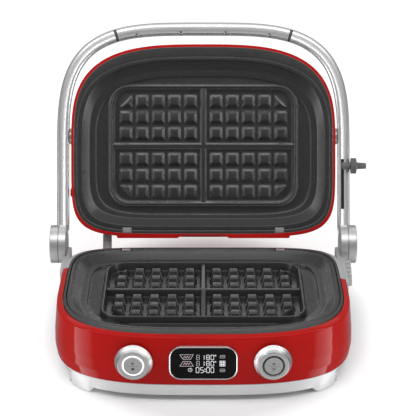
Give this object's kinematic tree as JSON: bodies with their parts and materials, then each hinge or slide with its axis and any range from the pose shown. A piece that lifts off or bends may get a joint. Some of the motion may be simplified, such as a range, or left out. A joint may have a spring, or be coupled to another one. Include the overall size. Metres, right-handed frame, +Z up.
{
  "type": "waffle maker",
  "caption": "Electric waffle maker with a floating lid on a tubular bail, removable waffle plates, two dials and a display.",
  "frame": {"origin": "bottom centre of the bounding box at rest, on the table", "axes": "+X to the right as the user sees it, -Y towards the user, +Z up"},
  "size_m": [0.4082, 0.4366, 0.3443],
  "materials": {
    "red_gloss": "gloss",
    "satin_silver": "satin",
    "satin_silver_metal": "satin",
    "rubber": "matte",
    "charcoal_plastic": "satin",
    "nonstick": "non-stick coated, satin",
    "bright_sheet": "bright",
    "element_steel": "satin",
    "grey_plastic": "satin",
    "brushed_aluminium": "brushed",
    "pin_steel": "turned",
    "chrome_trim": "polished",
    "display_glass": "gloss",
    "dark_plastic": "satin",
    "circuit_board": "satin",
    "light_ring": "lit white",
    "black_plastic": "satin"
  },
  "bodies": {
    "base": {"base_shell": "red_gloss", "rear_cover": "red_gloss", "bottom_pan": "satin_silver", "rubber_foot_front_left": "rubber", "rubber_foot_rear_left": "rubber", "rubber_foot_front_right": "rubber", "rubber_foot_rear_right": "rubber", "lower_plate_frame": "charcoal_plastic", "lower_reflector": "bright_sheet", "lower_element": "element_steel", "lower_thermostat": "element_steel", "lower_clip_right": "grey_plastic", "lower_clip_left": "grey_plastic", "hinge_bracket_right": "satin_silver_metal", "hinge_bracket_left": "satin_silver_metal", "hub_ring_right": "brushed_aluminium", "hub_ring_left": "brushed_aluminium", "hinge_pin_right": "pin_steel", "hinge_pin_left": "pin_steel", "display_bezel": "chrome_trim", "display_glass": "display_glass", "display_module": "dark_plastic", "control_board": "circuit_board", "dial_light_ring_left": "light_ring", "dial_encoder_left": "dark_plastic", "dial_light_ring_right": "dark_plastic", "dial_encoder_right": "dark_plastic", "power_inlet": "black_plastic", "lid_conduit": "grey_plastic", "conduit_gland": "dark_plastic"},
    "bail": {"bail_arm_right": "brushed_aluminium", "bail_arm_left": "brushed_aluminium", "grip_seam_right": "dark_plastic", "grip_seam_left": "dark_plastic", "handle_grip": "brushed_aluminium", "grip_screw_1": "pin_steel", "grip_screw_2": "pin_steel", "grip_screw_3": "pin_steel", "grip_screw_4": "pin_steel", "hub_drum_right": "brushed_aluminium", "hub_drum_left": "brushed_aluminium", "pivot_pin_right": "pin_steel", "pivot_pin_left": "pin_steel"},
    "lid": {"lid_shell": "red_gloss", "upper_plate_frame": "charcoal_plastic", "upper_reflector": "bright_sheet", "upper_element": "element_steel", "upper_clip_right": "grey_plastic", "upper_clip_left": "grey_plastic", "pivot_boss_right": "dark_plastic", "pivot_boss_left": "dark_plastic"},
    "upper_plate": {"upper_plate": "nonstick"},
    "lower_plate": {"lower_plate": "nonstick"},
    "height_lever": {"height_lever": "dark_plastic"},
    "dial_left": {"dial_left": "chrome_trim"},
    "dial_right": {"dial_right": "chrome_trim"},
    "dial_button_left": {"dial_button_left": "brushed_aluminium"},
    "dial_button_right": {"dial_button_right": "brushed_aluminium"},
    "lower_release_button": {"lower_release_button": "dark_plastic"},
    "upper_release_button": {"upper_release_button": "red_gloss"}
  },
  "joints": [
    {"name": "bail_hinge", "type": "hinge", "parent": "base", "child": "bail", "pos_m": [-0.00695, 0.0583, 0.082], "axis": [-1, 0, 0], "range_deg": [-112.4, 67.6], "deforming": ["lid_conduit"]},
    {"name": "lid_float", "type": "hinge", "parent": "bail", "child": "lid", "pos_m": [-0.00695, 0.12706, 0.20552], "axis": [1, 0, 0], "range_deg": [-1.2, 1.2]},
    {"name": "upper_plate_release", "type": "slide", "parent": "lid", "child": "upper_plate", "axis": [0, -0.9245, 0.3811], "range_m": [0, 0.04]},
    {"name": "lower_plate_lift", "type": "slide", "parent": "base", "child": "lower_plate", "axis": [0, 0, 1], "range_m": [0, 0.06]},
    {"name": "height_lever_slide", "type": "slide", "parent": "bail", "child": "height_lever", "axis": [0, 0.3811, 0.9245], "range_m": [-0.049, 0]},
    {"name": "dial_left_turn", "type": "hinge", "parent": "base", "child": "dial_left", "pos_m": [-0.08645, -0.2073, 0.0518], "axis": [-0.0436, -0.999, 0], "continuous": true},
    {"name": "dial_right_turn", "type": "hinge", "parent": "base", "child": "dial_right", "pos_m": [0.07255, -0.2073, 0.0518], "axis": [0.0436, -0.999, 0], "continuous": true},
    {"name": "dial_button_left_press", "type": "slide", "parent": "base", "child": "dial_button_left", "axis": [0.0436, 0.999, 0], "range_m": [0, 0.001], "stiffness_N_per_m": 600, "springref_m": -0.001},
    {"name": "dial_button_right_press", "type": "slide", "parent": "base", "child": "dial_button_right", "axis": [-0.0436, 0.999, 0], "range_m": [0, 0.001], "stiffness_N_per_m": 600, "springref_m": -0.001},
    {"name": "lower_release_press", "type": "slide", "parent": "base", "child": "lower_release_button", "axis": [0, -1, 0], "range_m": [0, 0.0025], "stiffness_N_per_m": 500, "springref_m": -0.002},
    {"name": "upper_release_press", "type": "slide", "parent": "lid", "child": "upper_release_button", "axis": [1, 0, 0], "range_m": [0, 0.0015], "stiffness_N_per_m": 500, "springref_m": -0.002}
  ]
}
